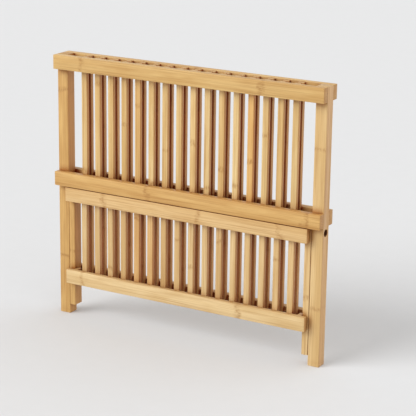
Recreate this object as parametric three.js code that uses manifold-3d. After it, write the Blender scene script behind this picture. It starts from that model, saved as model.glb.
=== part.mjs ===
// Folding bamboo dish rack, folded flat for storage and standing on its outer legs.
//
// Two slatted frames cross on a pair of pivot screws, like the two halves of a letter X.
// The rear frame has the outer legs, the rear rails and the rear slats.
// The front frame has the inner legs, the front rails, the front slats and the lower back slats.
// A slatted shelf hangs on two pins in the inner legs and drops forward once the rack is open.
//
// Millimetres, +Z up. X runs along the rails, -Y is the front, the origin is on the floor
// below the middle of the folded rack.

import * as THREE from 'three';
import { mergeVertices } from 'three/addons/utils/BufferGeometryUtils.js';
import Module from 'manifold-3d';

const wasm = await Module();
wasm.setup();

// ---- Overall size of the folded rack ----
const overallWidth = 419.1;
const overallHeight = 381;
const foldedDepth = 38.1;

// ---- Rails ----
const railThickness = 10.5;
const railHeight = 20;
const midRailBottom = 193.5;
const lowerRailBottom = 50;

// ---- Legs ----
const outerLegWidth = 16.5;
const innerLegWidth = 9;
const innerFootRise = 14;
const innerLegTopDrop = 6;
const blindHoleWall = 2; // left past the end of a blind hole in an inner leg

// ---- Slats ----
const slatCount = 16;
const slatPitch = 22;
const slatWidth = 8.5;
const slatThickness = 6;
const slatTopDrop = 0.5;
const backSlatTop = 178;

// ---- Upper stretcher between the inner legs ----
const stretcherThickness = 6;
const stretcherBottom = 174;
const stretcherTop = 185;

// ---- Drop shelf ----
const shelfLegGap = 2.5; // between the back of the shelf rails and the inner legs
const shelfRailHeight = 20;
const shelfOpenAngle = THREE.MathUtils.degToRad(52);

// ---- Shelf hinge blocks and pins ----
const hingeBlockWidth = 6;
const hingeEyeRadius = 3.6;
const hingePinRadius = 1.25;

// ---- Pivot screws ----
const pivotDrop = 8;
const recessRadius = 5;
const recessDepth = 8.5;
const screwHeadHeight = 3;
const screwShankRadius = 2.5;
const socketAcrossCorners = 4.6;
const socketDepth = 1.6;

// ---- Clearances ----
const foldClearance = 0.4; // between the front frame and the rear frame, front to back
const legSideClearance = 0.5; // between an inner and an outer leg
const shelfSideClearance = 1.5; // between the end of a shelf rail and an outer leg
const holeClearance = 0.3; // around the shank and head of a screw and around a pin
const shelfClearance = 1; // between the shelf and the front middle rail above it
const stopClearance = 0.15; // between the open shelf and the inner legs
const blockClearance = 0.5; // between a hinge block and its inner leg

// ---- Planes from front to back ----
const frontFace = -foldedDepth / 2;
const backFace = foldedDepth / 2;
const frontRailBack = frontFace + railThickness;
const rearRailFront = backFace - railThickness;
const outerLegFront = frontRailBack + foldClearance;
const outerLegBack = rearRailFront;
const innerLegFront = frontRailBack;
const innerLegBack = rearRailFront - foldClearance;

// ---- Planes from the middle to one side ----
const sideFace = overallWidth / 2;
const outerLegInside = sideFace - outerLegWidth;
const innerLegOutside = outerLegInside - legSideClearance;
const innerLegInside = innerLegOutside - innerLegWidth;
const shelfEnd = outerLegInside - shelfSideClearance;

// ---- Heights ----
const topRailBottom = overallHeight - railHeight;
const midRailTop = midRailBottom + railHeight;
const slatTop = overallHeight - slatTopDrop;
const pivotHeight = midRailBottom - pivotDrop;
const shelfTop = midRailBottom - shelfClearance;

// The shelf turns until the lower back edge of its lower rail meets the front of the inner legs.
const shelfRailBack = innerLegFront - shelfLegGap;
const stopCosine = Math.cos(shelfOpenAngle);
const shelfHingeY = innerLegFront + (shelfLegGap * stopCosine - stopClearance) / (1 - stopCosine);
const shelfHingeHeight = lowerRailBottom;

const holeSegments = 32;

const railBamboo = new THREE.MeshStandardMaterial({ color: 0xe0b67a, roughness: 0.55 });
const legBamboo = new THREE.MeshStandardMaterial({ color: 0xd9ad73, roughness: 0.55 });
const slatBamboo = new THREE.MeshStandardMaterial({ color: 0xe6c48c, roughness: 0.6 });
const shelfBamboo = new THREE.MeshStandardMaterial({ color: 0xe7c791, roughness: 0.55 });
const steel = new THREE.MeshStandardMaterial({ color: 0x6f6a64, roughness: 0.35, metalness: 1 });

/** A named mesh with a material of its own. */
function piece(name, geometry, material, x, y, z) {
  const mesh = new THREE.Mesh(geometry, material.clone());
  mesh.name = name;
  mesh.position.set(x, y, z);
  return mesh;
}

/** A squared piece of bamboo that fills the box from low to high. */
function stick(name, material, low, high) {
  const size = high.map((value, axis) => value - low[axis]);
  const centre = high.map((value, axis) => (value + low[axis]) / 2);
  return piece(name, new THREE.BoxGeometry(...size), material, ...centre);
}

/** Box geometry whose corners lie exactly on the planes given. */
function blockGeometry(low, high) {
  const geometry = new THREE.BoxGeometry(1, 1, 1);
  const corners = geometry.attributes.position;
  for (let i = 0; i < corners.count; i += 1) {
    const sides = [corners.getX(i), corners.getY(i), corners.getZ(i)];
    const place = sides.map((side, axis) => (side < 0 ? low[axis] : high[axis]));
    corners.setXYZ(i, ...place);
  }
  return geometry;
}

/** A round bar along X from one place to another. */
function barGeometry(radius, fromX, toX, y, z, segments = holeSegments) {
  const geometry = new THREE.CylinderGeometry(radius, radius, Math.abs(toX - fromX), segments);
  geometry.rotateZ(Math.PI / 2);
  geometry.translate((fromX + toX) / 2, y, z);
  return geometry;
}

/** Closed geometry as a solid that can be joined and cut. */
function solid(geometry) {
  const bare = geometry.clone();
  bare.deleteAttribute('normal');
  bare.deleteAttribute('uv');
  const merged = mergeVertices(bare);
  const mesh = new wasm.Mesh({
    numProp: 3,
    vertProperties: Float32Array.from(merged.attributes.position.array),
    triVerts: Uint32Array.from(merged.index.array),
  });
  return new wasm.Manifold(mesh);
}

/** A joined or cut solid as flat-shaded geometry. */
function geometryOf(result) {
  const mesh = result.getMesh();
  const geometry = new THREE.BufferGeometry();
  geometry.setAttribute('position', new THREE.BufferAttribute(mesh.vertProperties, 3));
  geometry.setIndex(new THREE.BufferAttribute(mesh.triVerts, 1));
  const flat = geometry.toNonIndexed();
  flat.computeVertexNormals();
  return flat;
}

function cut(body, ...tools) {
  return tools.reduce((left, tool) => left.subtract(solid(tool)), solid(body));
}

/** Centre of each slat along X, the same for every slatted panel. */
const slatCentres = Array.from(
  { length: slatCount },
  (_, index) => (index - (slatCount - 1) / 2) * slatPitch,
);

const twoDigits = (index) => String(index + 1).padStart(2, '0');

/** A row of separate slats between two planes front to back and two heights. */
function slatRow(prefix, material, frontY, bottom, top) {
  return slatCentres.map((centre, index) =>
    stick(
      `${prefix}_${twoDigits(index)}`,
      material,
      [centre - slatWidth / 2, frontY, bottom],
      [centre + slatWidth / 2, frontY + slatThickness, top],
    ),
  );
}

/**
 * A rail with its slats glued to the front of it, as one comb.
 * Its own origin is the middle of the joint, at the bottom edge of the rail.
 */
function combGeometry(halfLength, slatLength) {
  let comb = solid(blockGeometry([-halfLength, 0, 0], [halfLength, railThickness, railHeight]));
  for (const centre of slatCentres) {
    const slat = blockGeometry(
      [centre - slatWidth / 2, -slatThickness, 0],
      [centre + slatWidth / 2, 0, slatLength],
    );
    comb = comb.add(solid(slat));
  }
  return geometryOf(comb);
}

// ---- Rear frame ----

/** Outer leg with a stepped hole for the pivot screw. side is -1 on the left, 1 on the right. */
function outerLeg(name, side) {
  const width = outerLegWidth / 2;
  const depth = (outerLegBack - outerLegFront) / 2;
  const centreX = side * (sideFace - width);
  const centreY = (outerLegFront + outerLegBack) / 2;
  const holeRadius = screwShankRadius + holeClearance;
  const past = 1;
  const leg = cut(
    blockGeometry([-width, -depth, 0], [width, depth, overallHeight]),
    barGeometry(holeRadius, -width - past, width + past, -centreY, pivotHeight),
    barGeometry(
      recessRadius,
      side * (width - recessDepth),
      side * (width + past),
      -centreY,
      pivotHeight,
    ),
  );
  return piece(name, geometryOf(leg), legBamboo, centreX, centreY, 0);
}

function rearFrame() {
  const group = new THREE.Group();
  group.add(
    outerLeg('outer_leg_left', -1),
    outerLeg('outer_leg_right', 1),
    stick(
      'rear_top_rail',
      railBamboo,
      [-sideFace, rearRailFront, topRailBottom],
      [sideFace, backFace, overallHeight],
    ),
    piece(
      'rear_mid_rail_and_slats',
      combGeometry(sideFace, slatTop - midRailBottom),
      slatBamboo,
      0,
      rearRailFront,
      midRailBottom,
    ),
  );
  return group;
}

// ---- Front frame ----

/** Inner leg with a blind hole for the pivot screw and a blind hole for the shelf pin. */
function innerLeg(name, side) {
  const width = innerLegWidth / 2;
  const depth = (innerLegBack - innerLegFront) / 2;
  const length = midRailTop - innerLegTopDrop - innerFootRise;
  const centreX = side * (innerLegOutside - width);
  const centreY = (innerLegFront + innerLegBack) / 2;
  const past = 1;
  const leg = cut(
    blockGeometry([-width, -depth, 0], [width, depth, length]),
    barGeometry(
      screwShankRadius + holeClearance,
      side * (blindHoleWall - width),
      side * (width + past),
      -centreY,
      pivotHeight - innerFootRise,
    ),
    barGeometry(
      hingePinRadius + holeClearance,
      side * (width - blindHoleWall),
      side * (-width - past),
      shelfHingeY - centreY,
      shelfHingeHeight - innerFootRise,
    ),
  );
  return piece(name, geometryOf(leg), legBamboo, centreX, centreY, innerFootRise);
}

/** Pivot screw with a round head and a hexagon socket, its head sunk in the outer leg. */
function pivotScrew(name, side) {
  const recessFloor = sideFace - recessDepth;
  const headInside = recessFloor + holeClearance;
  const headOutside = headInside + screwHeadHeight;
  const tip = innerLegInside + blindHoleWall + holeClearance;
  const hexagonSides = 6;
  const headRadius = recessRadius - holeClearance;
  const head = solid(barGeometry(headRadius, 0, side * screwHeadHeight, 0, 0));
  const shank = solid(barGeometry(screwShankRadius, side * (tip - headInside), side, 0, 0));
  const socket = solid(
    barGeometry(
      socketAcrossCorners / 2,
      side * (screwHeadHeight - socketDepth),
      side * (headOutside - headInside + 1),
      0,
      0,
      hexagonSides,
    ),
  );
  const screw = head.add(shank).subtract(socket);
  return piece(name, geometryOf(screw), steel, side * headInside, 0, pivotHeight);
}

function frontFrame() {
  const group = new THREE.Group();
  const combLength = backSlatTop - lowerRailBottom;
  group.add(
    stick(
      'front_top_rail',
      railBamboo,
      [-sideFace, frontFace, topRailBottom],
      [sideFace, frontRailBack, overallHeight],
    ),
    stick(
      'front_mid_rail',
      railBamboo,
      [-sideFace, frontFace, midRailBottom],
      [sideFace, frontRailBack, midRailTop],
    ),
    ...slatRow('front_slat', slatBamboo, frontRailBack, midRailBottom, slatTop),
    innerLeg('inner_leg_left', -1),
    innerLeg('inner_leg_right', 1),
    stick(
      'upper_stretcher',
      railBamboo,
      [-innerLegInside, innerLegBack - slatThickness - stretcherThickness, stretcherBottom],
      [innerLegInside, innerLegBack - slatThickness, stretcherTop],
    ),
    piece(
      'lower_back_rail_and_slats',
      combGeometry(innerLegOutside, combLength),
      slatBamboo,
      0,
      innerLegBack,
      lowerRailBottom,
    ),
    pivotScrew('pivot_screw_left', -1),
    pivotScrew('pivot_screw_right', 1),
  );
  return group;
}

// ---- Drop shelf ----

/** Hinge block behind the lower shelf rail, with a round eye for the pin. */
function hingeBlock(name, side) {
  const backY = shelfHingeY + hingeEyeRadius;
  const outline = new THREE.Shape();
  outline.moveTo(shelfRailBack, 0);
  outline.lineTo(shelfHingeY - hingeEyeRadius, 0);
  outline.absarc(shelfHingeY, 0, hingeEyeRadius, Math.PI, 2 * Math.PI, false);
  outline.lineTo(backY, shelfRailHeight);
  outline.lineTo(shelfRailBack, shelfRailHeight);
  outline.closePath();
  const eye = new THREE.Path();
  eye.absarc(shelfHingeY, 0, hingePinRadius + holeClearance, 0, 2 * Math.PI, true);
  outline.holes.push(eye);
  const geometry = new THREE.ExtrudeGeometry(outline, {
    depth: hingeBlockWidth,
    bevelEnabled: false,
    curveSegments: holeSegments / 2,
  });
  // The outline is drawn with y across and z up, and is extruded along x.
  geometry.rotateX(Math.PI / 2);
  geometry.rotateZ(Math.PI / 2);
  const outside = innerLegInside - blockClearance;
  const nearX = side > 0 ? outside - hingeBlockWidth : -outside;
  return piece(name, geometry, shelfBamboo, nearX, 0, shelfHingeHeight);
}

/** Steel pin that runs through a hinge block into the inner leg. */
function shelfPin(name, side) {
  const inside = innerLegInside - blockClearance - hingeBlockWidth;
  const outside = innerLegOutside - blindHoleWall - holeClearance;
  const geometry = barGeometry(hingePinRadius, 0, side * (outside - inside), 0, 0);
  return piece(name, geometry, steel, side * inside, shelfHingeY, shelfHingeHeight);
}

function dropShelf() {
  const group = new THREE.Group();
  group.add(
    stick(
      'shelf_upper_rail',
      shelfBamboo,
      [-shelfEnd, frontFace, shelfTop - shelfRailHeight],
      [shelfEnd, shelfRailBack, shelfTop],
    ),
    stick(
      'shelf_lower_rail',
      shelfBamboo,
      [-shelfEnd, frontFace, lowerRailBottom],
      [shelfEnd, shelfRailBack, lowerRailBottom + shelfRailHeight],
    ),
    ...slatRow('shelf_slat', shelfBamboo, shelfRailBack, lowerRailBottom, shelfTop),
    hingeBlock('shelf_hinge_block_left', -1),
    hingeBlock('shelf_hinge_block_right', 1),
    shelfPin('shelf_pin_left', -1),
    shelfPin('shelf_pin_right', 1),
  );
  return group;
}

const dishRack = new THREE.Group();
dishRack.add(rearFrame(), frontFrame(), dropShelf());

export default dishRack;
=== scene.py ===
"""Looks of a folding bamboo dish rack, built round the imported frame.

Every stick of the rack is modelled as a planed piece of laminated bamboo with eased edges, the
pivot screws and shelf pins as turned steel, and the whole stands on a pale seamless floor.
"""

import logging
import math
import random
from collections.abc import Callable
from dataclasses import dataclass, field, replace
from enum import Enum
from typing import ClassVar

import bmesh
import bpy
from mathutils import Euler, Matrix, Vector


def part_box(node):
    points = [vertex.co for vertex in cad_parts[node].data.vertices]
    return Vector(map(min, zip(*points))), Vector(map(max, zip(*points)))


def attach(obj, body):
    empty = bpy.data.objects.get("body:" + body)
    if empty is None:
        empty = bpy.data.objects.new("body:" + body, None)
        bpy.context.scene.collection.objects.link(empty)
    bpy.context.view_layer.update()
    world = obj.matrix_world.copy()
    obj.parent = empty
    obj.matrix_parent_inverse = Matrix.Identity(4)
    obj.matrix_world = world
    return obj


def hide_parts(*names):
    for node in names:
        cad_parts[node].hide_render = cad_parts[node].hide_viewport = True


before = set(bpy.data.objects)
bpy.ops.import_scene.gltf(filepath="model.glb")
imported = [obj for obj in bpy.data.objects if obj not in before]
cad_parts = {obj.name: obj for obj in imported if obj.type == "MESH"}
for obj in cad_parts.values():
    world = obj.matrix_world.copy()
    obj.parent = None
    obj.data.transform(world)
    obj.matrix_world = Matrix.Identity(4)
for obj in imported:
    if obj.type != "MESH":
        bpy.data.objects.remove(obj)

log = logging.getLogger("dish_rack")

MM = 0.001
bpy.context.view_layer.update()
SLAT_COUNT = 16
TOOL_OVERLAP = 2 * MM  # how far a drill reaches past the face that it enters
HOLE_TOLERANCE = 0.05 * MM
FACE_TOLERANCE = 0.01 * MM
SQUARE = 0.8  # how squarely a face looks along an axis to count as facing that way
CORNER_ANGLE = math.radians(40)
SMOOTH_ANGLE = math.radians(35)

Corner = tuple[float, float, float]


class Grain(Enum):
    """The way that the fibres of a stick run."""

    ALONG_X = "x"
    ALONG_Z = "z"

    @property
    def axis(self) -> int:
        """Index of the axis that the fibres run along."""
        return "xyz".index(self.value)


class Side(Enum):
    """The two ends of the rack, as the sign of X."""

    LEFT = -1
    RIGHT = 1

    @property
    def word(self) -> str:
        """How a node's name says this side."""
        return self.name.lower()

    def faces(self, node: str) -> tuple[float, float]:
        """X of a CAD node's outer face and of its inner face."""
        low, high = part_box(node)
        return (high.x, low.x) if self is Side.RIGHT else (low.x, high.x)


def middle_of(node: str) -> Vector:
    """Middle of a CAD node's box."""
    low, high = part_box(node)
    return (low + high) / 2


# ---------------------------------------------------------------------------
# Small modelling helpers
# ---------------------------------------------------------------------------


def deselect_everything() -> None:
    """Leave object mode with nothing selected and nothing active."""
    if bpy.context.mode != "OBJECT":
        bpy.ops.object.mode_set(mode="OBJECT")
    bpy.ops.object.select_all(action="DESELECT")


def make_active(piece: bpy.types.Object) -> None:
    """Select one piece alone and make it the active one.

    Args:
        piece: The object to work on.
    """
    deselect_everything()
    piece.select_set(True)
    bpy.context.view_layer.objects.active = piece


def settle(piece: bpy.types.Object) -> None:
    """Move a piece's place into its mesh, so that its object sits at the origin.

    Args:
        piece: The object to settle.
    """
    make_active(piece)
    bpy.ops.object.transform_apply(location=True, rotation=True, scale=True)


def add_block(name: str, low: Vector, high: Vector) -> bpy.types.Object:
    """Add a cube primitive that fills a box.

    Args:
        name: The object's name.
        low: Lowest corner.
        high: Highest corner.

    Returns:
        The new object, active and settled.
    """
    deselect_everything()
    bpy.ops.mesh.primitive_cube_add(size=1, location=(low + high) / 2)
    piece = bpy.context.object
    piece.name = name
    piece.data.name = name
    piece.scale = high - low
    settle(piece)
    return piece


def add_bar(
    name: str, radius: float, start: float, end: float, centre: Vector, sides: int = 48
) -> bpy.types.Object:
    """Add a cylinder primitive that runs along X.

    Args:
        name: The object's name.
        radius: Radius of the bar.
        start: X of one end.
        end: X of the other end.
        centre: A point on the axis; its X is ignored.
        sides: Number of sides.

    Returns:
        The new object, active and settled.
    """
    deselect_everything()
    bpy.ops.mesh.primitive_cylinder_add(
        vertices=sides,
        radius=radius,
        depth=abs(end - start),
        location=((start + end) / 2, centre.y, centre.z),
        rotation=(0, math.pi / 2, 0),
    )
    piece = bpy.context.object
    piece.name = name
    piece.data.name = name
    settle(piece)
    return piece


def ease_edges(piece: bpy.types.Object, width: float, segments: int = 3) -> None:
    """Round the sharp edges of a piece with a bevel modifier, and apply it.

    Args:
        piece: The object to finish.
        width: Width of the rounded edge.
        segments: Number of steps across the edge.
    """
    make_active(piece)
    bevel = piece.modifiers.new("eased_edges", "BEVEL")
    bevel.width = width
    bevel.segments = segments
    bevel.limit_method = "ANGLE"
    bevel.angle_limit = CORNER_ANGLE
    bevel.use_clamp_overlap = True
    bpy.ops.object.modifier_apply(modifier=bevel.name)


def pick_faces(piece: bpy.types.Object, wanted: Callable[[Vector, Vector], bool]) -> None:
    """Select the faces of a piece in edit mode that pass a test, and no others.

    Args:
        piece: The object in edit mode.
        wanted: Takes a face's middle and its normal, and says whether to select it.
    """
    bpy.ops.mesh.select_mode(type="FACE")
    bpy.ops.mesh.select_all(action="DESELECT")
    mesh = bmesh.from_edit_mesh(piece.data)
    mesh.normal_update()
    for face in mesh.faces:
        face.select = wanted(face.calc_center_median(), face.normal)
    bmesh.update_edit_mesh(piece.data)


def extrude(reach: Corner) -> None:
    """Extrude the selected faces and move them.

    Args:
        reach: How far and which way.
    """
    bpy.ops.mesh.extrude_region_move(TRANSFORM_OT_translate={"value": reach})


def combine(piece: bpy.types.Object, tool: bpy.types.Object, operation: str) -> None:
    """Combine a piece with a tool, apply the change and throw the tool away.

    Args:
        piece: The object that is changed.
        tool: The object whose shape is used.
        operation: DIFFERENCE to cut the tool's shape away, UNION to add it.
    """
    make_active(piece)
    change = piece.modifiers.new("combine", "BOOLEAN")
    change.operation = operation
    change.object = tool
    change.solver = "EXACT"
    bpy.ops.object.modifier_apply(modifier=change.name)
    bpy.data.objects.remove(tool)


def bore(
    piece: bpy.types.Object, radius: float, start: float, end: float, centre: Vector
) -> None:
    """Drill a round hole along X.

    Args:
        piece: The object that is drilled.
        radius: Radius of the hole.
        start: X of one end.
        end: X of the other end.
        centre: A point on the axis; its X is ignored.
    """
    combine(piece, add_bar("drill", radius, start, end, centre), "DIFFERENCE")


def from_axis(point: Vector, axis: Vector) -> float:
    """Distance of a point from an axis that runs along X."""
    return math.hypot(point.y - axis.y, point.z - axis.z)


def paint_faces(
    mesh: bpy.types.Mesh, name: str, wanted: Callable[[bpy.types.MeshPolygon], bool]
) -> None:
    """Store 1 on the corners of the faces that pass a test, and 0 on the others.

    Args:
        mesh: The mesh to mark.
        name: Name of the new attribute.
        wanted: Says whether a face is marked.
    """
    layer = mesh.attributes.new(name, "FLOAT", "CORNER")
    for face in mesh.polygons:
        mark = 1.0 if wanted(face) else 0.0
        for loop in face.loop_indices:
            layer.data[loop].value = mark


def smooth(piece: bpy.types.Object) -> None:
    """Shade a piece smooth, with its real corners kept sharp.

    Args:
        piece: The object to shade.
    """
    make_active(piece)
    bpy.ops.object.shade_smooth_by_angle(angle=SMOOTH_ANGLE)


# ---------------------------------------------------------------------------
# Finishes
# ---------------------------------------------------------------------------


class NodeSheet:
    """A material's node tree, with short calls for the nodes that the finishes share."""

    def __init__(self, name: str) -> None:
        """Start an empty material.

        Args:
            name: The material's name.
        """
        self.material = bpy.data.materials.new(name)
        self.material.use_nodes = True
        self.nodes = self.material.node_tree.nodes
        self.links = self.material.node_tree.links
        self.shader = self.nodes["Principled BSDF"]
        self.coordinates = self.nodes.new("ShaderNodeTexCoord").outputs["Object"]

    def join(self, source: bpy.types.NodeSocket, target: bpy.types.NodeSocket) -> None:
        """Link one socket to another."""
        self.links.new(source, target)

    def split(self, vector: bpy.types.NodeSocket) -> bpy.types.NodeOutputs:
        """Take a vector apart.

        Args:
            vector: The vector.

        Returns:
            Its three numbers, by name or in order.
        """
        node = self.nodes.new("ShaderNodeSeparateXYZ")
        self.join(vector, node.inputs[0])
        return node.outputs

    def mapped(self, scale: Corner, shift: Corner) -> bpy.types.NodeSocket:
        """Object coordinates, stretched and shifted.

        Args:
            scale: Stretch along each axis.
            shift: Offset along each axis, in stretched units.

        Returns:
            The mapped vector.
        """
        node = self.nodes.new("ShaderNodeMapping")
        node.inputs["Scale"].default_value = scale
        node.inputs["Location"].default_value = shift
        self.join(self.coordinates, node.inputs["Vector"])
        return node.outputs["Vector"]

    def noise(
        self, vector: bpy.types.NodeSocket, scale: float, detail: float
    ) -> bpy.types.NodeSocket:
        """Noise from 0 to 1.

        Args:
            vector: Where the noise is read.
            scale: Cells to the unit.
            detail: Number of finer layers.

        Returns:
            The noise value.
        """
        node = self.nodes.new("ShaderNodeTexNoise")
        node.inputs["Scale"].default_value = scale
        node.inputs["Detail"].default_value = detail
        self.join(vector, node.inputs["Vector"])
        return node.outputs["Fac"]

    def maths(
        self, operation: str, first: bpy.types.NodeSocket, second: float | bpy.types.NodeSocket
    ) -> bpy.types.NodeSocket:
        """One step of arithmetic.

        Args:
            operation: Blender's name for it.
            first: The first value.
            second: A number or another value.

        Returns:
            The result.
        """
        node = self.nodes.new("ShaderNodeMath")
        node.operation = operation
        self.join(first, node.inputs[0])
        if isinstance(second, (int, float)):
            node.inputs[1].default_value = second
        else:
            self.join(second, node.inputs[1])
        return node.outputs[0]

    def spread(
        self, value: bpy.types.NodeSocket, low: float, high: float, to_low: float, to_high: float
    ) -> bpy.types.NodeSocket:
        """Map a range of values onto another, clamped.

        Args:
            value: The value to map.
            low: Start of its range.
            high: End of its range.
            to_low: What the start becomes.
            to_high: What the end becomes.

        Returns:
            The mapped value.
        """
        node = self.nodes.new("ShaderNodeMapRange")
        node.inputs["From Min"].default_value = low
        node.inputs["From Max"].default_value = high
        node.inputs["To Min"].default_value = to_low
        node.inputs["To Max"].default_value = to_high
        self.join(value, node.inputs["Value"])
        return node.outputs["Result"]

    def tint(
        self,
        amount: bpy.types.NodeSocket,
        first: bpy.types.NodeSocket | Corner,
        second: bpy.types.NodeSocket | Corner,
        blend: str = "MIX",
    ) -> bpy.types.NodeSocket:
        """Mix two colours.

        Args:
            amount: How much of the second colour.
            first: A colour, or a socket that gives one.
            second: A colour, or a socket that gives one.
            blend: Blender's name for the way of mixing.

        Returns:
            The mixed colour.
        """
        node = self.nodes.new("ShaderNodeMix")
        node.data_type = "RGBA"
        node.blend_type = blend
        self.join(amount, node.inputs["Factor"])
        for socket, colour in ((node.inputs[6], first), (node.inputs[7], second)):
            if isinstance(colour, tuple):
                socket.default_value = (*colour, 1)
            else:
                self.join(colour, socket)
        return node.outputs[2]

    def attribute(self, name: str) -> bpy.types.NodeSocket:
        """A number stored on the piece's mesh.

        Args:
            name: The attribute's name.

        Returns:
            The number.
        """
        node = self.nodes.new("ShaderNodeAttribute")
        node.attribute_name = name
        return node.outputs["Fac"]

    def bump(self, height: bpy.types.NodeSocket, strength: float, distance: float) -> None:
        """Send a height to the shader as bump.

        Args:
            height: The height value.
            strength: Strength of the bump.
            distance: Depth that a height of 1 stands for, in metres.
        """
        node = self.nodes.new("ShaderNodeBump")
        node.inputs["Strength"].default_value = strength
        node.inputs["Distance"].default_value = distance
        self.join(height, node.inputs["Height"])
        self.join(node.outputs["Normal"], self.shader.inputs["Normal"])


@dataclass(frozen=True)
class BambooTone:
    """Colours of one batch of bamboo, as linear red, green and blue, and a slot name.

    The side tint and the tint for crevices are painted shade, which multiply the colours of the
    open front.
    """

    name: str
    slot: str
    pale: Corner
    deep: Corner
    streak: Corner
    # Painted shade: the tint that darkens the faces that look along X, as shaded sides.
    side: Corner = (1.0, 0.90, 0.92)
    # Painted shade: the tint that darkens narrow gaps, holes and corners.
    crevice_shade: Corner = (0.62, 0.38, 0.20)
    roughness: float = 0.46


# Painted shade for the slats' sides: darker and redder than their fronts.
SLAT_SIDE_SHADE = (1.0, 0.82, 0.74)
# Painted shade for the slats' crevices: a deep red-brown tint.
SLAT_CREVICE_SHADE = (0.42, 0.09, 0.01)
RAIL_TONE = BambooTone(
    "rail", "bamboo_rail", (0.665, 0.455, 0.185), (0.520, 0.305, 0.100), (0.34, 0.165, 0.045)
)
REAR_RAIL_TONE = replace(RAIL_TONE, name="rear_rail", crevice_shade=SLAT_CREVICE_SHADE)
LEG_TONE = BambooTone(
    "leg", "bamboo_leg", (0.630, 0.410, 0.155), (0.500, 0.285, 0.090), (0.33, 0.160, 0.045)
)
PALE_LEG_TONE = BambooTone(
    "pale_leg", "bamboo_leg", (0.700, 0.510, 0.255), (0.570, 0.370, 0.150), (0.38, 0.20, 0.065)
)
SLAT_TONE = BambooTone(
    "slat",
    "bamboo_slat",
    (0.745, 0.560, 0.275),
    (0.600, 0.390, 0.150),
    (0.40, 0.21, 0.06),
    SLAT_SIDE_SHADE,
    SLAT_CREVICE_SHADE,
)
SHELF_TONE = BambooTone(
    "shelf",
    "bamboo_shelf",
    (0.690, 0.505, 0.260),
    (0.570, 0.375, 0.158),
    (0.38, 0.20, 0.065),
    SLAT_SIDE_SHADE,
)
SHELF_SLAT_TONE = replace(SHELF_TONE, name="shelf_slat", crevice_shade=SLAT_CREVICE_SHADE)

DARKNESS_ATTRIBUTE = "piece_darkness"
WARMTH_ATTRIBUTE = "piece_warmth"
NODES_ATTRIBUTE = "bamboo_nodes"
END_ATTRIBUTE = "end_grain"
# Marks the faces that look along X, which get painted side shade and fainter node marks.
SIDE_ATTRIBUTE = "strip_side"
# Marks the wall of the pivot recess, which gets painted shade.
RECESS_SHADE_ATTRIBUTE = "painted_recess_shade"
OPEN_ATTRIBUTE = "open_front"


@dataclass(frozen=True)
class Layer:
    """One scale of the bamboo's pattern, drawn out along the grain."""

    stretch: float
    shift: Corner
    scale: float
    detail: float


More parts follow.
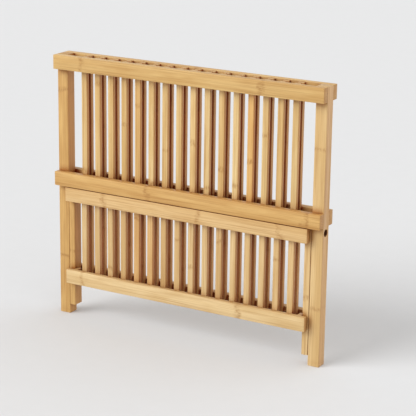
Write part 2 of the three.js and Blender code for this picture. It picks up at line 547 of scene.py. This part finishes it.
@dataclass(frozen=True)
class Bamboo:
    """Oiled, laminated bamboo: glued strips, fine fibres, node marks and darker end grain, with
    painted shade on its X-facing sides, in crevices and on the wall of the pivot recess.
    """

    tone: BambooTone
    grain: Grain
    fibres: Layer = Layer(0.012, (1.7, 4.1, 2.3), 1 / 0.00035, 2)
    streaks: Layer = Layer(0.014, (3.1, 2.2, 6.4), 1 / 0.0016, 2.5)
    strips: Layer = Layer(0.02, (5.2, 0.4, 3.9), 0.55 / 0.007, 1.5)
    clouds: Layer = Layer(0.25, (0.3, 0.7, 0.1), 70, 2)
    flecks: Layer = Layer(0.3, (2.0, 0.6, 1.1), 620, 2)
    pore_scale: float = 2600
    node_width: float = 0.005
    node_wobble: float = 0.022
    wobble_scale: float = 65
    # Painted shade on the wall of the pivot recess.
    recess_shade_tint: Corner = (0.22, 0.12, 0.08)
    # Settings of the painted shade in crevices: its reach, its samples, its fade at the feet and
    # its share on an open front.
    crevice_reach: float = 0.0115
    crevice_samples: int = 8
    foot_low: float = 0.002
    foot_high: float = 0.016
    open_share: float = 0.2
    warm_tint: Corner = (0.97, 0.78, 0.56)
    dark_tint: Corner = (0.70, 0.64, 0.56)
    specular: float = 0.3
    oil_coat: float = 0.06
    oil_roughness: float = 0.3
    bump_depth: float = 0.0001
    bump_strength: float = 0.3
    node_height: float = 0.9
    streak_height: float = 0.8

    def grown(self, sheet: NodeSheet, layer: Layer) -> bpy.types.NodeSocket:
        """Noise that is drawn out along the grain.

        Args:
            sheet: The material being made.
            layer: The scale of the pattern.

        Returns:
            The noise value.
        """
        scale = [1.0, 1.0, 1.0]
        scale[self.grain.axis] = layer.stretch
        return sheet.noise(sheet.mapped(tuple(scale), layer.shift), layer.scale, layer.detail)

    def shade_crevices(
        self, sheet: NodeSheet, colour: bpy.types.NodeSocket
    ) -> bpy.types.NodeSocket:
        """Paint shade into the wood in narrow gaps between sticks, in holes and in corners, found
        by ambient occlusion.

        Args:
            sheet: The material being made.
            colour: The colour of the open wood.

        Returns:
            The colour with painted shade in its crevices.
        """
        # Painted shade: ambient occlusion finds narrow gaps, holes and corners, and the tone's
        # tint for crevices darkens them.
        node = sheet.nodes.new("ShaderNodeAmbientOcclusion")
        node.samples = self.crevice_samples
        node.inputs["Distance"].default_value = self.crevice_reach
        openness = node.outputs["AO"]
        narrow = sheet.spread(openness, 0.5, 0.95, 1, 0)
        deep = sheet.spread(openness, 0.08, 0.3, 0.4, 0)
        height = sheet.split(sheet.coordinates)["Z"]
        # The painted shade fades out near the floor, so that the feet get no dark rim.
        above_foot = sheet.spread(height, self.foot_low, self.foot_high, 0, 1)
        # An open front keeps only a small share of the narrow painted shade.
        sheltered = sheet.spread(sheet.attribute(OPEN_ATTRIBUTE), 0, 1, 1, self.open_share)
        share = sheet.maths("MULTIPLY", above_foot, sheltered)
        narrow = sheet.maths("MULTIPLY", narrow, share)
        colour = sheet.tint(narrow, colour, self.tone.crevice_shade, "MULTIPLY")
        return sheet.tint(deep, colour, self.tone.crevice_shade, "MULTIPLY")

    def node_marks(self, sheet: NodeSheet) -> tuple[bpy.types.NodeSocket, bpy.types.NodeSocket]:
        """Irregular marks where the cane's nodes were planed flat.

        Args:
            sheet: The material being made.

        Returns:
            Dark flecks at each node, and the soft band that they lie in.
        """
        place = sheet.split(sheet.coordinates)[self.grain.axis]
        wobble = sheet.noise(sheet.coordinates, self.wobble_scale, 2.5)
        wobble = sheet.maths("MULTIPLY", sheet.maths("SUBTRACT", wobble, 0.5), self.node_wobble)
        place = sheet.maths("ADD", place, wobble)
        marks = sheet.nodes.new("ShaderNodeAttribute")
        marks.attribute_name = NODES_ATTRIBUTE
        nearest = None
        for node in sheet.split(marks.outputs["Vector"]):
            gap = sheet.maths("ABSOLUTE", sheet.maths("SUBTRACT", place, node), 0)
            nearest = gap if nearest is None else sheet.maths("MINIMUM", nearest, gap)
        facing = sheet.spread(sheet.attribute(SIDE_ATTRIBUTE), 0, 1, 1, 0.25)
        band = sheet.maths(
            "MULTIPLY", sheet.spread(nearest, 0, self.node_width, 1, 0), facing
        )
        flecks = self.grown(sheet, self.flecks)
        return sheet.maths("MULTIPLY", band, sheet.spread(flecks, 0.42, 0.6, 0, 1)), band

    def wood_colour(
        self,
        sheet: NodeSheet,
        fibres: bpy.types.NodeSocket,
        streaks: bpy.types.NodeSocket,
        marks: tuple[bpy.types.NodeSocket, bpy.types.NodeSocket],
    ) -> bpy.types.NodeSocket:
        """Colour of the wood, from its strips down to the pores of its ends, with painted shade
        on its X-facing sides, on the pivot recess wall and in crevices.

        Args:
            sheet: The material being made.
            fibres: Noise of the fibres.
            streaks: Noise of the streaks.
            marks: The flecks and the bands of the cane's nodes.

        Returns:
            The colour.
        """
        tone = self.tone
        flecks, band = marks
        strips = self.grown(sheet, self.strips)
        clouds = self.grown(sheet, self.clouds)
        colour = sheet.tint(sheet.spread(strips, 0.36, 0.64, 0, 0.85), tone.pale, tone.deep)
        colour = sheet.tint(sheet.spread(clouds, 0.42, 0.66, 0, 0.6), colour, tone.deep)
        colour = sheet.tint(sheet.spread(streaks, 0.48, 0.76, 0, 0.7), colour, tone.streak)
        colour = sheet.tint(sheet.spread(fibres, 0.5, 0.75, 0, 0.35), colour, tone.streak)
        colour = sheet.tint(sheet.maths("MULTIPLY", band, 0.2), colour, tone.streak)
        colour = sheet.tint(sheet.maths("MULTIPLY", flecks, 0.75), colour, tone.streak)
        # Warmth and darkness are each piece's own tone; the side tint and the recess tint are
        # painted shade.
        for name, tint in (
            (WARMTH_ATTRIBUTE, self.warm_tint),
            (DARKNESS_ATTRIBUTE, self.dark_tint),
            (SIDE_ATTRIBUTE, tone.side),
            (RECESS_SHADE_ATTRIBUTE, self.recess_shade_tint),
        ):
            colour = sheet.tint(sheet.attribute(name), colour, tint, "MULTIPLY")
        colour = self.shade_crevices(sheet, colour)
        pores = sheet.spread(
            sheet.noise(sheet.coordinates, self.pore_scale, 1), 0.46, 0.62, 0.2, 0.8
        )
        dots = sheet.maths("MULTIPLY", sheet.attribute(END_ATTRIBUTE), pores)
        return sheet.tint(dots, colour, tone.streak)

    def make(self) -> bpy.types.Material:
        """Build the material.

        Returns:
            The finished material.
        """
        sheet = NodeSheet(f"bamboo_{self.tone.name}_{self.grain.value}")
        shader = sheet.shader.inputs
        fibres = self.grown(sheet, self.fibres)
        streaks = self.grown(sheet, self.streaks)
        marks = self.node_marks(sheet)
        sheet.join(self.wood_colour(sheet, fibres, streaks, marks), shader["Base Color"])
        glossy = self.tone.roughness - 0.07
        dull = self.tone.roughness + 0.12
        sheet.join(sheet.spread(fibres, 0.3, 0.8, glossy, dull), shader["Roughness"])
        shader["Specular IOR Level"].default_value = self.specular
        shader["Coat Weight"].default_value = self.oil_coat
        shader["Coat Roughness"].default_value = self.oil_roughness
        raised_nodes = sheet.maths("MULTIPLY", marks[1], self.node_height)
        raised_streaks = sheet.maths("MULTIPLY", streaks, self.streak_height)
        height = sheet.maths("ADD", sheet.maths("ADD", raised_nodes, fibres), raised_streaks)
        sheet.bump(height, self.bump_strength, self.bump_depth)
        return sheet.material


@dataclass(frozen=True)
class TurnedSteel:
    """Blackened steel with fine turning marks. Its near-black colour is also painted shade, which
    keeps the pivot recesses as dark as shade.
    """

    name: ClassVar[str] = "turned_steel"
    # Near black, partly as painted shade in the pivot recesses.
    colour: Corner = (0.045, 0.042, 0.040)
    blotch_darkness: float = 0.6
    roughness: float = 0.42
    mark_scale: Corner = (6000, 900, 900)
    mark_depth: float = 0.00003

    def make(self) -> bpy.types.Material:
        """Build the material.

        Returns:
            The finished material.
        """
        sheet = NodeSheet(self.name)
        blotches = sheet.noise(sheet.coordinates, 700, 3)
        colour = sheet.tint(
            sheet.spread(blotches, 0.35, 0.7, 0, 1),
            self.colour,
            tuple(self.blotch_darkness * part for part in self.colour),
        )
        sheet.join(colour, sheet.shader.inputs["Base Color"])
        sheet.join(
            sheet.spread(blotches, 0.3, 0.7, self.roughness - 0.1, self.roughness + 0.12),
            sheet.shader.inputs["Roughness"],
        )
        sheet.shader.inputs["Metallic"].default_value = 1
        marks = sheet.noise(sheet.mapped(self.mark_scale, (0, 0, 0)), 1, 2)
        sheet.bump(marks, 0.2, self.mark_depth)
        return sheet.material


@dataclass(frozen=True)
class StudioPaper:
    """Matt, pale grey seamless paper."""

    colour: Corner = (0.662, 0.664, 0.668)
    fibre_darkness: float = 0.99
    roughness: float = 0.9
    specular: float = 0.1

    def make(self) -> bpy.types.Material:
        """Build the material.

        Returns:
            The finished material.
        """
        sheet = NodeSheet("studio_paper")
        fibre = sheet.noise(sheet.coordinates, 40, 2)
        colour = sheet.tint(
            sheet.spread(fibre, 0.3, 0.7, 0, 1),
            self.colour,
            tuple(self.fibre_darkness * part for part in self.colour),
        )
        sheet.join(colour, sheet.shader.inputs["Base Color"])
        sheet.shader.inputs["Roughness"].default_value = self.roughness
        sheet.shader.inputs["Specular IOR Level"].default_value = self.specular
        return sheet.material


# ---------------------------------------------------------------------------
# Bamboo sticks
# ---------------------------------------------------------------------------


@dataclass(frozen=True)
class Character:
    """What makes one stick look different from the next of its batch.

    Nodes are the places of up to three of the cane's nodes along the grain, in metres. Darker
    and warmer run from 0 to 1. What is left as none is drawn at random. An open front has
    nothing standing before it, and gets only a small share of the painted shade in crevices.
    """

    nodes: tuple[float, ...] | None = None
    darker: float | None = None
    warmer: float | None = None
    open_front: bool = False


@dataclass
class StickMaker:
    """Makes planed bamboo sticks that stand for CAD nodes, and gives each its own character."""

    edge: float = 0.6 * MM
    first_node: float = 0.02
    node_spacing: float = 0.22
    spacing_spread: float = 0.2
    node_margin: float = 0.012
    nowhere: float = 9.0
    most_darker: float = 0.25
    most_warmer: float = 0.3
    dice: random.Random = field(default_factory=lambda: random.Random(1625))
    finishes: dict[tuple[str, Grain], bpy.types.Material] = field(default_factory=dict)

    def finish(self, tone: BambooTone, grain: Grain) -> bpy.types.Material:
        """The bamboo material for one tone and grain, made once.

        Args:
            tone: The batch of bamboo.
            grain: The way that its fibres run.

        Returns:
            The material.
        """
        key = (tone.name, grain)
        if key not in self.finishes:
            self.finishes[key] = Bamboo(tone, grain).make()
        return self.finishes[key]

    def scatter_nodes(self, low: float, high: float) -> tuple[float, ...]:
        """Places for the bamboo's nodes along a stick.

        Args:
            low: Where the stick starts.
            high: Where it ends.

        Returns:
            The places, in metres.
        """
        place = low + self.dice.uniform(self.first_node, self.node_spacing)
        nodes = []
        while place < high - self.node_margin:
            nodes.append(place)
            place += self.node_spacing * self.dice.uniform(
                1 - self.spacing_spread, 1 + self.spacing_spread
            )
        return tuple(nodes)

    def settle_character(
        self, piece: bpy.types.Object, grain: Grain, character: Character
    ) -> Character:
        """Draw what a character leaves open.

        Args:
            piece: The shaped mesh.
            grain: The way that its fibres run.
            character: What is known of it.

        Returns:
            The whole character.
        """
        nodes, darker, warmer = character.nodes, character.darker, character.warmer
        if nodes is None:
            along = [vertex.co[grain.axis] for vertex in piece.data.vertices]
            nodes = self.scatter_nodes(min(along), max(along))
        if darker is None:
            darker = self.dice.uniform(0.0, self.most_darker)
        if warmer is None:
            warmer = self.dice.uniform(0.0, self.most_warmer)
        return replace(character, nodes=nodes, darker=darker, warmer=warmer)

    def paint(self, mesh: bpy.types.Mesh, grain: Grain, character: Character) -> None:
        """Store a character on a mesh, and mark its ends, its sides and its open front.

        Args:
            mesh: The finished mesh.
            grain: The way that its fibres run.
            character: The whole character.
        """
        count = len(mesh.vertices)
        for name, value in (
            (DARKNESS_ATTRIBUTE, character.darker),
            (WARMTH_ATTRIBUTE, character.warmer),
        ):
            layer = mesh.attributes.new(name, "FLOAT", "POINT")
            layer.data.foreach_set("value", [value] * count)
        places = (list(character.nodes) + [self.nowhere] * 3)[:3]
        layer = mesh.attributes.new(NODES_ATTRIBUTE, "FLOAT_VECTOR", "POINT")
        layer.data.foreach_set("vector", places * count)
        paint_faces(mesh, END_ATTRIBUTE, lambda face: abs(face.normal[grain.axis]) > SQUARE)
        # The sides get the painted side shade.
        paint_faces(mesh, SIDE_ATTRIBUTE, lambda face: abs(face.normal.x) > SQUARE)
        # An open front gets less of the painted shade in crevices.
        paint_faces(
            mesh,
            OPEN_ATTRIBUTE,
            lambda face: character.open_front and face.normal.y < -SQUARE,
        )

    def dress(
        self,
        piece: bpy.types.Object,
        tone: BambooTone,
        grain: Grain,
        body: str,
        character: Character = Character(),
    ) -> None:
        """Give a shaped stick its character and its finish, and let it ride.

        Args:
            piece: The shaped mesh.
            tone: The batch of bamboo.
            grain: The way that its fibres run.
            body: The CAD body that it rides on.
            character: What makes it look different from the next.
        """
        character = self.settle_character(piece, grain, character)
        smooth(piece)
        self.paint(piece.data, grain, character)
        piece.data.materials.clear()
        piece.data.materials.append(self.finish(tone, grain))
        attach(piece, body)
        log.info("%s: %d faces on %s", piece.name, len(piece.data.polygons), body)

    def stick(self, name: str, low: Vector, high: Vector) -> bpy.types.Object:
        """A squared stick with eased edges that fills a box.

        Args:
            name: The object's name.
            low: Lowest corner.
            high: Highest corner.

        Returns:
            The shaped mesh, not yet dressed.
        """
        piece = add_block(name, low, high)
        ease_edges(piece, self.edge)
        return piece


def dress_steel(piece: bpy.types.Object, node: str, body: str) -> None:
    """Give a turned piece its steel finish, and let it ride in place of a CAD node.

    Args:
        piece: The shaped mesh.
        node: The CAD node.
        body: The CAD body that it rides on.
    """
    smooth(piece)
    steel = bpy.data.materials.get(TurnedSteel.name) or TurnedSteel().make()
    piece.data.materials.clear()
    piece.data.materials.append(steel)
    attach(piece, body)
    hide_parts(node)
    log.info("%s: %d faces on %s", piece.name, len(piece.data.polygons), body)


# ---------------------------------------------------------------------------
# The three bodies of the rack
# ---------------------------------------------------------------------------


@dataclass
class SlatPanel:
    """A row of slats, modelled once and copied along X.

    A panel with a CAD prefix stands for CAD nodes of that name, one to a slat. Warm ones are
    slats, counted from 0, whose warmth is chosen.
    """

    maker: StickMaker
    prefix: str
    body: str
    tone: BambooTone
    low: Vector
    high: Vector
    centres: list[float]
    cad_prefix: str | None = None
    warm_ones: dict[int, float] = field(default_factory=dict)

    def build(self) -> None:
        """Model one slat, copy it to every place and dress each copy."""
        pattern = self.maker.stick(f"{self.prefix}_pattern", self.low, self.high)
        middle = (self.low.x + self.high.x) / 2
        for index, centre in enumerate(self.centres):
            slat = pattern.copy()
            slat.data = pattern.data.copy()
            slat.name = f"{self.prefix}_{index + 1:02d}"
            slat.data.name = slat.name
            slat.data.transform(Matrix.Translation((centre - middle, 0, 0)))
            bpy.context.scene.collection.objects.link(slat)
            character = Character(
                warmer=self.warm_ones.get(index), open_front=self.cad_prefix is not None
            )
            self.maker.dress(slat, self.tone, Grain.ALONG_Z, self.body, character)
            if self.cad_prefix is not None:
                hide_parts(f"{self.cad_prefix}_{index + 1:02d}")
        bpy.data.objects.remove(pattern)


@dataclass
class Rack:
    """What the three bodies share: the maker, the slats' places, and ways to make pieces."""

    body: ClassVar[str]
    maker: StickMaker

    def centres(self) -> list[float]:
        """Middle of each slat along X."""
        boxes = [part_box(f"front_slat_{index + 1:02d}") for index in range(SLAT_COUNT)]
        return [(low.x + high.x) / 2 for low, high in boxes]

    def rail(
        self,
        node: str,
        name: str,
        tone: BambooTone,
        character: Character = Character(),
        corners: tuple[Vector, Vector] | None = None,
    ) -> None:
        """A rail along X that stands for a CAD node.

        Args:
            node: The CAD node.
            name: The new piece's name.
            tone: The batch of bamboo.
            character: What makes it look different from the next.
            corners: Its lowest and highest corners, or none for the node's own.
        """
        low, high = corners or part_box(node)
        rail = self.maker.stick(name, low, high)
        self.maker.dress(rail, tone, Grain.ALONG_X, self.body, character)
        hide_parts(node)

    def rail_and_slats(
        self, node: str, rail: str, slats: str, seam: float, low_z: float, high_z: float
    ) -> None:
        """A rear rail and the slats glued to the front of it, which are one CAD node.

        Args:
            node: The CAD node.
            rail: What the rail's name starts with.
            slats: What the slats' names start with.
            seam: Y of the seam between the rail and the slats.
            low_z: Z of the rail's lower face.
            high_z: Z of its upper face.
        """
        low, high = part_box(node)
        corners = Vector((low.x, seam, low_z)), Vector((high.x, high.y, high_z))
        self.rail(node, f"{rail}_bamboo", REAR_RAIL_TONE, corners=corners)
        slat_low, slat_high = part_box("front_slat_01")
        SlatPanel(
            maker=self.maker,
            prefix=f"{slats}_bamboo",
            body=self.body,
            tone=SLAT_TONE,
            low=Vector((slat_low.x, low.y, low.z)),
            high=Vector((slat_high.x, seam, high.z)),
            centres=self.centres(),
        ).build()

    def dress_leg(
        self, leg: bpy.types.Object, node: str, side: Side, character: Character
    ) -> None:
        """Dress a finished leg and let it stand for its CAD node.

        Args:
            leg: The shaped leg.
            node: The CAD node.
            side: Which end of the rack.
            character: What makes it look different from the next.
        """
        tone = LEG_TONE if side is Side.LEFT else PALE_LEG_TONE
        self.maker.dress(leg, tone, Grain.ALONG_Z, self.body, character)
        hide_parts(node)


@dataclass
class RearFrame(Rack):
    """Outer legs, rear rails and rear slats: the half that the folded rack stands on."""

    body: ClassVar[str] = "rear_frame"
    recess_radius: float = 5 * MM
    recess_depth: float = 8.5 * MM
    hole_radius: float = 2.8 * MM
    lip: float = 0.5 * MM

    def build(self) -> None:
        """Build every piece of the rear frame."""
        for side in Side:
            self.outer_leg(side)
        self.rail("rear_top_rail", "rear_top_rail_bamboo", REAR_RAIL_TONE)
        top_low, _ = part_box("rear_top_rail")
        front_low, front_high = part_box("front_mid_rail")
        self.rail_and_slats(
            "rear_mid_rail_and_slats",
            "rear_mid_rail",
            "rear_slat",
            seam=top_low.y,
            low_z=front_low.z,
            high_z=front_high.z,
        )

    def outer_leg(self, side: Side) -> None:
        """An outer leg with the stepped hole for its pivot screw.

        Args:
            side: Which end of the rack.
        """
        node = f"outer_leg_{side.word}"
        outside, inside = side.faces(node)
        axis = middle_of(f"pivot_screw_{side.word}")
        leg = self.maker.stick(f"{node}_bamboo", *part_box(node))
        past = side.value * TOOL_OVERLAP
        floor = outside - side.value * self.recess_depth
        bore(leg, self.hole_radius, inside - past, outside + past, axis)
        bore(leg, self.recess_radius, outside + past, floor, axis)
        self.soften_mouth(leg, outside, axis)
        # Painted shade on the wall of the recess.
        self.paint_recess_shade(leg, axis)
        warmer = 0.25 if side is Side.LEFT else 0.05
        self.dress_leg(leg, node, side, Character(darker=0.0, warmer=warmer))

    def soften_mouth(self, leg: bpy.types.Object, outside: float, axis: Vector) -> None:
        """Ease the mouth of the recess on the outer face of a leg.

        Args:
            leg: The cut leg.
            outside: X of the leg's outer face.
            axis: A point on the middle of the recess.
        """
        make_active(leg)
        bpy.ops.object.mode_set(mode="EDIT")
        bpy.ops.mesh.select_mode(type="EDGE")
        bpy.ops.mesh.select_all(action="DESELECT")
        mesh = bmesh.from_edit_mesh(leg.data)
        reach = self.recess_radius + HOLE_TOLERANCE
        for edge in mesh.edges:
            edge.select = all(
                abs(vertex.co.x - outside) < FACE_TOLERANCE
                and from_axis(vertex.co, axis) < reach
                for vertex in edge.verts
            )
        bmesh.update_edit_mesh(leg.data)
        bpy.ops.mesh.bevel(offset=self.lip, segments=2, affect="EDGES", clamp_overlap=True)
        bpy.ops.object.mode_set(mode="OBJECT")

    def paint_recess_shade(self, leg: bpy.types.Object, axis: Vector) -> None:
        """Mark the wall of the recess, which gets painted shade.

        Args:
            leg: The cut leg.
            axis: A point on the middle of the recess.
        """
        mesh = leg.data
        reach = self.recess_radius + HOLE_TOLERANCE
        paint_faces(
            mesh,
            RECESS_SHADE_ATTRIBUTE,
            lambda face: all(
                from_axis(mesh.vertices[index].co, axis) < reach for index in face.vertices
            ),
        )


@dataclass
class FrontFrame(Rack):
    """Inner legs, front rails, front slats and the lower back panel."""

    body: ClassVar[str] = "front_frame"
    hole_radius: float = 2.8 * MM
    pin_hole_radius: float = 1.55 * MM
    blind_wall: float = 2 * MM
    head_height: float = 3 * MM
    head_edge: float = 0.5 * MM
    shank_radius: float = 2.5 * MM
    shank_edge: float = 0.4 * MM
    socket_radius: float = 2.3 * MM
    socket_depth: float = 1.6 * MM

    def build(self) -> None:
        """Build every piece of the front frame."""
        self.rail(
            "front_top_rail",
            "front_top_rail_bamboo",
            RAIL_TONE,
            Character(nodes=(-0.163, 0.119), darker=0.05, warmer=0.1, open_front=True),
        )
        self.rail(
            "front_mid_rail",
            "front_mid_rail_bamboo",
            RAIL_TONE,
            Character(nodes=(-0.055, 0.188), darker=0.08, warmer=0.4, open_front=True),
        )
        low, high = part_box("front_slat_01")
        SlatPanel(
            maker=self.maker,
            prefix="front_slat_bamboo",
            body=self.body,
            tone=SLAT_TONE,
            low=low,
            high=high,
            centres=self.centres(),
            cad_prefix="front_slat",
            warm_ones={4: 0.45, 12: 0.85},
        ).build()
        for side in Side:
            self.inner_leg(side)
            self.pivot_screw(side)
        self.rail("upper_stretcher", "upper_stretcher_bamboo", REAR_RAIL_TONE)
        low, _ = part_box("lower_back_rail_and_slats")
        _, leg_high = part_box("inner_leg_left")
        _, shelf_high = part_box("shelf_lower_rail")
        self.rail_and_slats(
            "lower_back_rail_and_slats",
            "lower_back_rail",
            "lower_back_slat",
            seam=leg_high.y,
            low_z=low.z,
            high_z=shelf_high.z,
        )

    def inner_leg(self, side: Side) -> None:
        """An inner leg with blind holes for the pivot screw and the shelf pin.

        Args:
            side: Which end of the rack.
        """
        node = f"inner_leg_{side.word}"
        outside, inside = side.faces(node)
        leg = self.maker.stick(f"{node}_bamboo", *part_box(node))
        past = side.value * TOOL_OVERLAP
        wall = side.value * self.blind_wall
        screw = middle_of(f"pivot_screw_{side.word}")
        pin = middle_of(f"shelf_pin_{side.word}")
        bore(leg, self.hole_radius, inside + wall, outside + past, screw)
        bore(leg, self.pin_hole_radius, outside - wall, inside - past, pin)
        warmer = 0.25 if side is Side.LEFT else 0.1
        self.dress_leg(leg, node, side, Character(darker=0.1, warmer=warmer))

    def pivot_screw(self, side: Side) -> None:
        """A pivot screw: a turned head with a hexagon socket, on a plain shank.

        Args:
            side: Which end of the rack.
        """
        node = f"pivot_screw_{side.word}"
        low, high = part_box(node)
        top, tip = side.faces(node)
        axis = middle_of(node)
        outward = side.value
        under = top - outward * self.head_height
        screw = add_bar(f"{node}_steel", (high.z - low.z) / 2, under, top, axis)
        ease_edges(screw, self.head_edge)
        socket = add_bar(
            "hexagon_socket",
            self.socket_radius,
            top - outward * self.socket_depth,
            top + outward * TOOL_OVERLAP,
            axis,
            sides=6,
        )
        combine(screw, socket, "DIFFERENCE")
        root = under + outward * self.head_edge
        shank = add_bar("shank", self.shank_radius, tip, root, axis)
        ease_edges(shank, self.shank_edge, 2)
        combine(screw, shank, "UNION")
        dress_steel(screw, node, self.body)


@dataclass
class DropShelf(Rack):
    """The slatted shelf that swings forward between the outer legs."""

    body: ClassVar[str] = "drop_shelf"
    pin_hole_radius: float = 1.55 * MM
    pin_edge: float = 0.35 * MM
    split_tolerance: float = 0.001 * MM

    def build(self) -> None:
        """Build every piece of the shelf."""
        self.rail(
            "shelf_upper_rail",
            "shelf_upper_rail_bamboo",
            SHELF_TONE,
            Character(nodes=(-0.125, 0.028, 0.151), darker=0.05, warmer=0.35, open_front=True),
        )
        self.rail(
            "shelf_lower_rail",
            "shelf_lower_rail_bamboo",
            SHELF_TONE,
            Character(nodes=(-0.165, 0.09), darker=0.0, warmer=0.0, open_front=True),
        )
        low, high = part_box("shelf_slat_01")
        SlatPanel(
            maker=self.maker,
            prefix="shelf_slat_bamboo",
            body=self.body,
            tone=SHELF_SLAT_TONE,
            low=low,
            high=high,
            centres=self.centres(),
            cad_prefix="shelf_slat",
            warm_ones={4: 0.7, 5: 0.6},
        ).build()
        for side in Side:
            self.hinge_block(side)
            self.pin(side)

    def hinge_block(self, side: Side) -> None:
        """A small block behind the lower rail, rounded under the eye that the pin runs in.

        Args:
            side: Which end of the rack.
        """
        node = f"shelf_hinge_block_{side.word}"
        low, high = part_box(node)
        pin = middle_of(f"shelf_pin_{side.word}")
        radius = high.y - pin.y
        block = add_bar(f"{node}_bamboo", radius, low.x, high.x, pin)
        make_active(block)
        bpy.ops.object.mode_set(mode="EDIT")
        bpy.ops.mesh.select_all(action="SELECT")
        bpy.ops.mesh.bisect(
            plane_co=pin,
            plane_no=(0, 0, 1),
            use_fill=True,
            clear_outer=True,
            threshold=self.split_tolerance,
        )
        pick_faces(block, lambda middle, normal: normal.z > SQUARE)
        extrude((0, 0, high.z - pin.z))
        pick_faces(block, lambda middle, normal: normal.y < -SQUARE and middle.z > pin.z)
        extrude((0, low.y - pin.y + radius, 0))
        bpy.ops.object.mode_set(mode="OBJECT")
        ease_edges(block, self.maker.edge, 2)
        bore(block, self.pin_hole_radius, low.x - TOOL_OVERLAP, high.x + TOOL_OVERLAP, pin)
        self.maker.dress(block, SHELF_TONE, Grain.ALONG_Z, self.body, Character(nodes=()))
        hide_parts(node)

    def pin(self, side: Side) -> None:
        """A plain steel pin with rounded ends.

        Args:
            side: Which end of the rack.
        """
        node = f"shelf_pin_{side.word}"
        low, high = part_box(node)
        radius = (high.z - low.z) / 2
        pin = add_bar(f"{node}_steel", radius, low.x, high.x, middle_of(node))
        ease_edges(pin, self.pin_edge)
        dress_steel(pin, node, self.body)


# ---------------------------------------------------------------------------
# Studio
# ---------------------------------------------------------------------------


@dataclass
class Studio:
    """Pale floor, soft lights and the camera."""

    floor_size: float = 80.0
    horizon: float = 0.98
    zenith: float = 0.58
    zenith_height: float = 0.4
    far_clip: float = 100
    film_width: float = 36
    camera_place: Corner = (1.0588, -1.7793, 0.7812)
    turn: float = 30
    look_down: float = 16
    roll: float = 0.79
    lens: float = 136.1

    def build(self) -> None:
        """Build the floor, the lights and the camera."""
        self.camera()
        self.floor()
        self.lights()
        self.world()

    def camera(self) -> None:
        """A long lens, to the right of the rack and above it."""
        data = bpy.data.cameras.new("camera")
        data.lens = self.lens
        data.sensor_width = self.film_width
        data.clip_end = self.far_clip
        camera = bpy.data.objects.new("camera", data)
        bpy.context.scene.collection.objects.link(camera)
        camera.location = self.camera_place
        turn = Euler((0, 0, math.radians(self.turn))).to_matrix()
        tilt = Euler((math.radians(90 - self.look_down), 0, 0)).to_matrix()
        roll = Euler((0, 0, math.radians(self.roll))).to_matrix()
        camera.rotation_euler = (turn @ tilt @ roll).to_euler()
        bpy.context.scene.camera = camera

    def floor(self) -> None:
        """A wide, flat paper floor that runs out to the horizon."""
        deselect_everything()
        bpy.ops.mesh.primitive_plane_add(size=self.floor_size)
        floor = bpy.context.object
        floor.name = "studio_floor"
        floor.data.materials.append(StudioPaper().make())

    def sun(self, name: str, place: Corner, strength: float, spread: float) -> None:
        """An even light that shines from far away towards the rack.

        Args:
            name: Its name.
            place: A point on the way to it from the rack.
            strength: Its strength in watts to the square metre.
            spread: How wide it looks, in degrees, which sets how soft its shadows are.
        """
        data = bpy.data.lights.new(name, "SUN")
        data.energy = strength
        data.angle = math.radians(spread)
        light = bpy.data.objects.new(name, data)
        bpy.context.scene.collection.objects.link(light)
        light.location = place
        light.rotation_euler = (-Vector(place)).to_track_quat("-Z", "Y").to_euler()

    def lights(self) -> None:
        """A key light from the left, a softer one from the right, and a faint one from behind."""
        self.sun("key_light", (-1.25, -1.7, 1.4), strength=2.2, spread=45)
        self.sun("fill_light", (1.8, 0.35, 1.0), strength=1.0, spread=120)
        self.sun("back_light", (0.6, 1.4, 1.9), strength=0.3, spread=120)

    def world(self) -> None:
        """A pale surround, brightest round the horizon."""
        world = bpy.data.worlds.new("surround")
        world.use_nodes = True
        nodes, links = world.node_tree.nodes, world.node_tree.links
        background = nodes["Background"]
        split = nodes.new("ShaderNodeSeparateXYZ")
        height = nodes.new("ShaderNodeMapRange")
        links.new(nodes.new("ShaderNodeTexCoord").outputs["Generated"], split.inputs[0])
        links.new(split.outputs["Z"], height.inputs["Value"])
        height.inputs["From Max"].default_value = self.zenith_height
        height.inputs["To Min"].default_value = self.horizon
        height.inputs["To Max"].default_value = self.zenith
        links.new(height.outputs["Result"], background.inputs["Strength"])
        background.inputs["Color"].default_value = (1.0, 1.0, 1.0, 1)
        bpy.context.scene.world = world
        bpy.context.scene.view_settings.view_transform = "Standard"


def main() -> None:
    """Build the studio and the three bodies of the rack in order."""
    logging.basicConfig(level=logging.INFO)
    Studio().build()
    maker = StickMaker()
    for part in (RearFrame(maker), FrontFrame(maker), DropShelf(maker)):
        part.build()
        log.info("built %s", type(part).__name__)


if __name__ == "__main__":
    main()
